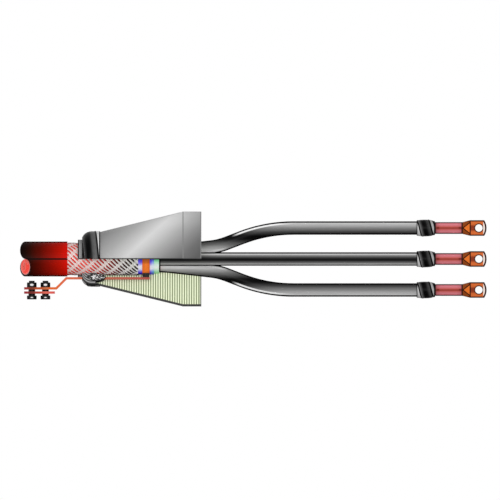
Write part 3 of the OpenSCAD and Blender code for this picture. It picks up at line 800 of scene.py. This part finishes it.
def braid_tree():
    """Flat wires wound round the cable in carriers, over and under the other set by turns."""
    t = Tree("braid wires", [
        ("Carriers", "Int"), ("Wires", "Int"), ("Wire spacing", "Float"), ("Lead", "Float"),
        ("Hand", "Float"), ("Radius", "Float"), ("Dip", "Float"), ("Crossings", "Int"),
        ("Start", "Float"), ("End", "Float"), ("Points", "Int"), ("Wire width", "Float"),
        ("Wire thickness", "Float"), ("Finish", "Material"),
    ])
    line = t.add("GeometryNodeCurvePrimitiveLine", Start=t.point(t.input("Start"), 0, 0),
                 End=t.point(t.input("End"), 0, 0))
    path = t.add("GeometryNodeResampleCurve", Curve=line, Count=t.input("Points"))
    wires = t.input("Wires")
    seats = t.add("GeometryNodePoints", Count=t.calc("MULTIPLY", t.input("Carriers"), wires))
    numbered = t.add("GeometryNodeStoreNamedAttribute", {"data_type": "FLOAT"}, Geometry=seats,
                     Name="wire", Value=t.add("GeometryNodeInputIndex"))
    copies = t.add("GeometryNodeInstanceOnPoints", Points=numbered, Instance=path)
    laid = t.add("GeometryNodeRealizeInstances", Geometry=copies)

    number = t.add("GeometryNodeInputNamedAttribute", {"data_type": "FLOAT"}, Name="wire")
    carrier = t.calc("FLOOR", t.calc("DIVIDE", number, wires))
    in_carrier = t.calc("SUBTRACT", number, t.calc("MULTIPLY", carrier, wires))
    from_middle = t.calc("SUBTRACT", in_carrier, t.calc(
        "MULTIPLY", t.calc("SUBTRACT", wires, 1.0), 0.5))
    seat = t.calc("ADD", t.calc("MULTIPLY", t.calc("DIVIDE", carrier, t.input("Carriers")), TURN),
                  t.calc("MULTIPLY", from_middle, t.input("Wire spacing")))

    x = t.add("ShaderNodeSeparateXYZ", Vector=t.add("GeometryNodeInputPosition"))
    turned = t.calc("DIVIDE", t.calc("MULTIPLY", x, TURN), t.input("Lead"))
    sweep = t.calc("MULTIPLY", turned, t.input("Hand"))
    angle = t.calc("ADD", sweep, seat)
    swing = t.calc("COSINE", t.calc("MULTIPLY", t.calc("ADD", angle, sweep), t.calc(
        "MULTIPLY", t.input("Crossings"), 0.5)))
    eased = t.calc("MULTIPLY_ADD", swing, 2.0, -0.8)
    crossing = t.calc("MAXIMUM", t.calc("MINIMUM", eased, 1.0), -1.0)
    radius = t.calc("SUBTRACT", t.input("Radius"), t.calc("MULTIPLY", crossing, t.input("Dip")))
    front = t.calc("MULTIPLY", t.calc("COSINE", angle), -1.0)
    up = t.calc("SINE", angle)
    wound = t.add("GeometryNodeSetPosition", Geometry=laid, Position=t.point(
        x, t.calc("MULTIPLY", radius, front), t.calc("MULTIPLY", radius, up)))
    facing = t.add("GeometryNodeSetCurveNormal", {"mode": "FREE"}, Curve=wound,
                   Normal=t.point(0, front, up))

    ring = t.add("GeometryNodeCurvePrimitiveCircle", Resolution=6, Radius=0.5)
    section = t.add("GeometryNodeTransform", Geometry=ring, Scale=t.point(
        t.input("Wire thickness"), t.input("Wire width"), 1))
    swept = t.add("GeometryNodeCurveToMesh", Curve=facing, Profile_Curve=section, Fill_Caps=True)
    smooth = t.add("GeometryNodeSetShadeSmooth", Geometry=swept)
    return t.finish(t.add("GeometryNodeSetMaterial", Geometry=smooth, Material=t.input("Finish")))


def thread_tree():
    """Ridges of the thread that stands out of each nut."""
    t = Tree("bolt threads", [
        ("Radius", "Float"), ("Pitch", "Float"), ("Length", "Float"), ("Ridge", "Float"),
        ("First bolt", "Vector"), ("Bolt spacing", "Vector"), ("Finish", "Material"),
    ])
    turns = t.calc("DIVIDE", t.input("Length"), t.input("Pitch"))
    helix = t.add("GeometryNodeCurveSpiral", Resolution=40, Height=t.input("Length"),
                  Rotations=turns, Start_Radius=t.input("Radius"), End_Radius=t.input("Radius"))
    ridge = t.add("GeometryNodeCurvePrimitiveCircle", Resolution=4, Radius=t.input("Ridge"))
    swept = t.add("GeometryNodeCurveToMesh", Curve=helix, Profile_Curve=ridge, Fill_Caps=True)
    seats = t.add("GeometryNodeMeshLine", Count=2, Start_Location=t.input("First bolt"),
                  Offset=t.input("Bolt spacing"))
    copies = t.add("GeometryNodeInstanceOnPoints", Points=seats, Instance=swept)
    laid = t.add("GeometryNodeRealizeInstances", Geometry=copies)
    return t.finish(t.add("GeometryNodeSetMaterial", Geometry=laid, Material=t.input("Finish")))


def bolt_threads(steel):
    """Threads from each nut to the end of its bolt."""
    start = NUT_HI.z + THREAD_RIDGE
    threads = grown("earth_bolt_threads", thread_tree(), {
        "Radius": THREAD_R, "Pitch": THREAD_PITCH, "Ridge": THREAD_RIDGE,
        "Length": BOLT_HI.z - start - THREAD_RIDGE,
        "First bolt": (BOLT_X[0], 0.0, start),
        "Bolt spacing": (BOLT_X[1] - BOLT_X[0], 0.0, 0.0), "Finish": steel,
    })
    ride(threads, "black_steel")


def turned_bed(name, rings):
    """Closed ring-shaped mesh from rings of (place, radius); a place may follow the angle."""
    mesh = bpy.data.meshes.new(name)
    verts, faces = [], []
    for place, radius in rings:
        for i in range(BED_COLUMNS):
            y = radius * math.cos(TURN * i / BED_COLUMNS)
            z = radius * math.sin(TURN * i / BED_COLUMNS)
            verts.append((place(y, z) if callable(place) else place, y, z))
    count = len(rings)
    for j in range(count):
        a, b = j * BED_COLUMNS, (j + 1) % count * BED_COLUMNS
        for i in range(BED_COLUMNS):
            k = (i + 1) % BED_COLUMNS
            faces.append((a + i, b + i, b + k, a + k))
    mesh.from_pydata(verts, [], faces)
    mesh.shade_smooth()
    return placed(name, mesh)


def armour():
    """Wire braid over its bed; under the sheath only the bed goes on."""
    group = braid_tree()
    pale = wire_finish("wire_pale", [
        (-1, (14, 4, 4)), (-0.5, (255, 238, 234)), (52, (255, 246, 242)), (75, (255, 252, 250)),
        (101, (255, 255, 253)),
    ])
    # the red is brightest about 25 mm along: painted light that lifts a cast shadow there
    dark = wire_finish("wire_dark", [
        (0, (214, 60, 52)), (13, (224, 68, 60)), (25, (246, 90, 80)), (40, (210, 46, 38)),
        (58, (148, 24, 20)), (78, (52, 14, 11)), (101, (10, 8, 8)),
    ])
    common = {
        "Lead": ARMOUR_LEAD, "Start": 0.1 * MM, "End": ARMOUR_HI.x - 0.1 * MM,
        "Radius": (BED_R + ARMOUR_HI.z) / 2, "Wire thickness": WIRE_T,
    }
    woven = grown("armour_dark_wires", group, {
        **common, "Carriers": DARK_WIRES, "Wires": 1, "Wire spacing": 0.0, "Hand": -1.0,
        "Dip": 0.36 * MM, "Crossings": PALE_CARRIERS, "Points": 150, "Wire width": 2.7 * MM,
        "Finish": dark,
    })
    carriers = grown("armour_pale_wires", group, {
        **common, "Carriers": PALE_CARRIERS, "Wires": PALE_WIRES, "Hand": 1.0,
        "Wire spacing": math.radians(5.14), "Dip": 0.0, "Crossings": DARK_WIRES, "Points": 80,
        "Wire width": 1.0 * MM, "Finish": pale,
    })
    lead_r = LEAD_HI.z + 0.05 * MM
    bed = turned_bed("armour_bed", [
        (cable_cut, lead_r), (cable_cut, ARMOUR_HI.z), (-0.6 * MM, ARMOUR_HI.z),
        (-0.3 * MM, BED_R), (ARMOUR_HI.x, BED_R), (ARMOUR_HI.x, lead_r),
    ])
    set_finish(bed, pale)
    for piece in (bed, woven, carriers):
        ride(piece, "braid", "armour_braid")


def cable_cut(y, z):
    """Place of the cable's twisted cut at a point of its section."""
    swing = math.sqrt(abs(z) / (SHEATH_HI.z + abs(z)))
    return CUT_X + math.copysign(2 * CUT_RISE / SHEATH_HI.z * swing, z) * y


def wound_tape(name, finish, edge, low, high, advance, envelope, height=0.0, opening=None):
    """Tape wound over an envelope radius(x) from low to high, each turn lapping the last.

    Its edge passes the front at the given place. The float attribute "across" runs over its
    width, and "coil" counts its turns from there.
    """
    width = advance + TAPE_LAP
    first, last = (low - width - edge) / advance, (high - edge) / advance
    columns = int(TAPE_COLUMNS_A_TURN * (last - first))
    made = bmesh.new()
    place_across = made.verts.layers.float.new("across")
    place_coil = made.verts.layers.float.new("coil")
    rows = []
    for i in range(columns + 1):
        turn = first + (last - first) * i / columns
        angle = -TURN * turn
        row = []
        for j in range(TAPE_ROWS + 1):
            v = width * j / TAPE_ROWS
            x = edge + advance * turn + v
            lapped = 1 - min(max((v - TAPE_LAP) / TAPE_LAP, 0), 1)
            r = envelope(min(max(x, low), high)) + TAPE_BED + TAPE_T * lapped
            vert = made.verts.new((x, -r * math.cos(angle), height + r * math.sin(angle)))
            vert[place_across] = j / TAPE_ROWS
            vert[place_coil] = turn
            row.append(vert)
        rows.append(row)
    for a, b in zip(rows, rows[1:]):
        for j in range(TAPE_ROWS):
            made.faces.new((a[j], a[j + 1], b[j + 1], b[j]))
    trim_tape(made, low, high, opening)
    made.normal_update()
    middles = [(face, face.calc_center_median()) for face in made.faces]
    out = sum(face.normal.y * at.y + face.normal.z * (at.z - height) for face, at in middles)
    if out < 0:
        bmesh.ops.reverse_faces(made, faces=made.faces[:])
    mesh = bpy.data.meshes.new(name)
    made.to_mesh(mesh)
    made.free()
    mesh.shade_smooth()
    piece = placed(name, mesh)
    set_finish(piece, finish)
    thicken = piece.modifiers.new("thickness", "SOLIDIFY")
    thicken.thickness = TAPE_T
    thicken.offset = 1.0
    thicken.use_rim = True
    return baked(piece)


def trim_tape(made, low, high, opening):
    """Cut a tape at both ends, and clear it from the opening in front, below the axis."""
    def part(point, normal, **sides):
        bmesh.ops.bisect_plane(made, geom=made.verts[:] + made.edges[:] + made.faces[:],
                               plane_co=point, plane_no=normal, **sides)

    part((low, 0, 0), (1, 0, 0), clear_inner=True)
    part((high, 0, 0), (1, 0, 0), clear_outer=True)
    if opening:
        part((0, opening, 0), (0, 1, 0))
        part((0, 0, 0), (0, 0, 1))
        middles = [(face, face.calc_center_median()) for face in made.faces]
        cleared = [face for face, at in middles if at.y < opening and at.z < 0]
        bmesh.ops.delete(made, geom=cleared, context="FACES")


def seal_envelope(x):
    """Outside of the entry seal: a quarter-ellipse shoulder, then level."""
    into = min((x - SEAL_LO.x) / SEAL_SHOULDER, 1.0)
    rise = math.sqrt(max(1 - (1 - into) ** 2, 0))
    return COLLAR_HI.z + (SEAL_HI.z - COLLAR_HI.z) * rise


def lug_tape_envelope(x):
    """Outside of a lug's tape: barrel shaped, smaller at the lug."""
    along = (x - LUG_TAPE_LO.x) / (LUG_TAPE_HI.x - LUG_TAPE_LO.x)
    swell = math.sin(math.radians(35 + 125 * min(along, 0.8))) * min((1 - along) / 0.2, 1)
    return LUG_TAPE_FOOT + (LUG_TAPE_HI.z - LUG_TAPE_FOOT) * swell


def tapes(seal, tape):
    """Turns of the seal tape and of the three lug tapes."""
    strip = wound_tape("seal_tape_turns", seal, SEAL_EDGE, SEAL_LO.x + 0.3 * MM, SEAL_HI.x,
                       SEAL_ADVANCE, seal_envelope, opening=SEAL_OPENING)
    ride(strip, "tape")
    for core, level in zip(CORES, (1, 0, -1)):
        strip = wound_tape("lug_tape_turns_" + core, tape, LUG_TAPE_EDGE,
                           LUG_TAPE_LO.x + 0.3 * MM, LUG_TAPE_HI.x - 0.2 * MM,
                           LUG_TAPE_ADVANCE, lug_tape_envelope, height=level * LUG_SPREAD)
        ride(strip, "tape")


def packing():
    """Crumpled packing yarn in the place of the ring."""
    mesh = solids["packing_ring"].data.copy()
    mesh.name = "packing_yarn"
    piece = placed("packing_yarn", mesh)
    made = bmesh.new()
    made.from_mesh(mesh)
    bmesh.ops.remove_doubles(made, verts=made.verts[:], dist=0.001 * MM)
    made.to_mesh(mesh)
    made.free()
    fine = piece.modifiers.new("fine", "REMESH")
    fine.mode = "VOXEL"
    fine.voxel_size = 0.8 * MM
    lumps = bpy.data.textures.new("packing_lumps", "CLOUDS")
    lumps.noise_scale = 4 * MM
    crumple = piece.modifiers.new("crumple", "DISPLACE")
    crumple.texture = lumps
    crumple.strength = 0.9 * MM
    crumple.mid_level = 0.62
    baked(piece).data.shade_smooth()
    set_finish(piece, packing_finish())
    ride(piece, "packing", "packing_ring")


def dress_solids():
    """Finishes of the solids that show as they are; returns those that new pieces share."""
    # painted sheen across a turn of tape: grey levels for the middle turns, then paler painted
    # highlights for the end turns
    seal = tape_finish("seal_tape_black", [
        (0, 6), (0.045, 8), (0.07, 80), (0.13, 48), (0.24, 2), (0.42, 1), (0.52, 22), (0.64, 84),
        (0.8, 98), (0.88, 92), (0.905, 8), (1, 6),
    ], [
        (0, 6), (0.05, 8), (0.07, 222), (0.3, 222), (0.4, 6), (0.6, 6), (0.7, 150), (0.89, 150),
        (0.915, 8), (1, 6),
    ], SEAL_LO.x, SEAL_HI.x)
    tape = tape_finish("lug_tape_black", [
        (0, 4), (0.07, 6), (0.10, 112), (0.2, 70), (0.32, 8), (0.45, 1), (0.6, 14), (0.75, 58),
        (0.86, 66), (0.89, 8), (1, 4),
    ], [
        (0, 4), (0.06, 6), (0.09, 180), (0.22, 170), (0.27, 16), (0.58, 6), (0.63, 170),
        (0.89, 205), (0.915, 6), (1, 4),
    ], LUG_TAPE_LO.x, LUG_TAPE_HI.x)
    # strap and link: darker from -54 to -48 mm and paler from -34 to -29 mm, painted shade and
    # painted highlight where they pass the two bolts
    strap = copper_finish("strap_copper", [
        (-62, (130, 30, 36)), (-57, (140, 48, 42)), (-54, (98, 38, 20)), (-48, (106, 44, 24)),
        (-45, (160, 68, 28)), (-37, (166, 70, 28)), (-34, (164, 84, 48)), (-29, (172, 90, 52)),
        (-26, (198, 88, 32)), (-16, (200, 94, 40)), (-4, (196, 92, 62)), (40, (164, 88, 66)),
        (118, (160, 76, 66)),
    ])
    link = copper_finish("link_copper", [
        (-62, (126, 24, 38)), (-57, (136, 34, 38)), (-54, (94, 32, 26)), (-48, (106, 38, 30)),
        (-45, (158, 50, 38)), (-37, (170, 60, 44)), (-34, (190, 88, 72)), (-29, (198, 94, 80)),
        (-26, (194, 80, 70)), (-18, (188, 74, 68)),
    ])
    # band: painted highlight in its middle, darker at both edges
    band = copper_finish("band_copper", [
        (106, (200, 98, 60)), (108, (250, 120, 44)), (112, (255, 134, 54)),
        (116.5, (250, 120, 44)), (118, (200, 96, 60)),
    ], metal=0.0, rounded=True)
    # painted sheen of the sleeves: grey levels at heights in mm
    bent_sleeve = sleeve_finish("sleeve_outer", [
        (0, 224), (9.7, 230), (13, 216), (15.5, 168), (20, 112), (25, 58), (28, 14), (30, 4),
        (33, 4), (34.7, 26), (38.6, 64), (44.3, 124), (50, 188), (52, 216), (54, 150),
    ], BENT_SLEEVE)
    straight_sleeve = sleeve_finish("sleeve_middle", [
        (0, 1), (1.2, 8), (2.9, 64), (4.3, 102), (5.7, 130), (7.0, 212), (7.8, 190), (10.3, 60),
    ], STRAIGHT_SLEEVE, lean=0.6 * MM)
    steel = steel_finish()
    lug = lug_finish()
    insulation = cut_face_finish("insulation_pink", CUT_INSULATION)
    conductor = conductor_finish()
    finishes = {
        "outer_sheath": sheath_finish(), "lead_sheath": lead_finish(),
        "belt_paper": belt_finish(), "core_filler": cut_face_finish("filler_red", CUT_FILLER),
        "mould_shell": mould_finish(), "resin_fill": resin_finish(),
        "entry_collar": collar_finish(), "seal_tape": seal_section_finish(),
        "clamp_band": band, "clamp_block": steel, "earth_strap": strap, "earth_link": link,
        "earth_bolts": steel, "earth_nuts": steel, "earth_spacers": steel,
    }
    for core in CORES:
        finishes["core_insulation_" + core] = insulation
        finishes["conductor_" + core] = conductor
        finishes["core_sleeve_" + core] = bent_sleeve
        finishes["lug_tape_" + core] = tape
        finishes["lug_" + core] = lug
    finishes[STRAIGHT_SLEEVE] = straight_sleeve
    for name, material in finishes.items():
        for slot in solids[name].material_slots:
            slot.material = material
    return seal, tape, steel


def floor():
    """Pale floor just under the part."""
    level = CAD_BOX[0].z - FLOOR_GAP
    corners = ((-1, -1), (1, -1), (1, 1), (-1, 1))
    mesh = bpy.data.meshes.new("floor")
    mesh.from_pydata([(x * FLOOR_HALF, y * FLOOR_HALF, level) for x, y in corners],
                     [], [(0, 1, 2, 3)])
    piece = placed("floor", mesh)
    f = Finish("floor_pale", Roughness=0.9, Specular_IOR_Level=0.0)
    set_finish(piece, f.colour(plain(FLOOR_TONE)))


def world():
    """White for what the camera and the gloss see, a softer level for the light."""
    studio = bpy.data.worlds.new("studio")
    bpy.context.scene.world = studio
    studio.use_nodes = True
    tree = studio.node_tree
    rays = tree.nodes.new("ShaderNodeLightPath")
    seen = rays.outputs["Is Camera Ray"]
    for kind in ("Is Glossy Ray", "Is Transmission Ray"):
        either = tree.nodes.new("ShaderNodeMath")
        either.operation = "MAXIMUM"
        tree.links.new(seen, either.inputs[0])
        tree.links.new(rays.outputs[kind], either.inputs[1])
        seen = either.outputs[0]
    level = tree.nodes.new("ShaderNodeMapRange")
    level.inputs["To Min"].default_value = 0.5
    level.inputs["To Max"].default_value = 1.0
    tree.links.new(seen, level.inputs["Value"])
    background = tree.nodes["Background"]
    background.inputs["Color"].default_value = plain(1.0)
    tree.links.new(level.outputs[0], background.inputs["Strength"])


def lamp(name, place, aim, size, power):
    """Rectangular light at a place, turned towards its aim."""
    data = bpy.data.lights.new(name, "AREA")
    data.shape = "RECTANGLE"
    data.size, data.size_y = size
    data.energy = power
    light = placed(name, data)
    light.location = place
    light.rotation_euler = (Vector(aim) - Vector(place)).to_track_quat("-Z", "Y").to_euler()
    light.visible_camera = False


def camera():
    """Level view of the whole frame, with the cable axis at its point."""
    data = bpy.data.cameras.new("view")
    data.type = "ORTHO"
    data.ortho_scale = FRAME_POINTS * POINT
    view = placed("view", data)
    view.location = ((FRAME_POINTS / 2 - AXIS_POINT[0]) * POINT, -VIEW_DISTANCE,
                     (AXIS_POINT[1] - FRAME_POINTS / 2) * POINT)
    view.rotation_euler = (math.pi / 2, 0, 0)
    bpy.context.scene.camera = view


seal, tape, steel = dress_solids()
armour()
packing()
tapes(seal, tape)
bolt_threads(steel)
floor()
world()
for settings in LAMPS:
    lamp(*settings)
camera()
bpy.context.scene.view_settings.view_transform = "Standard"
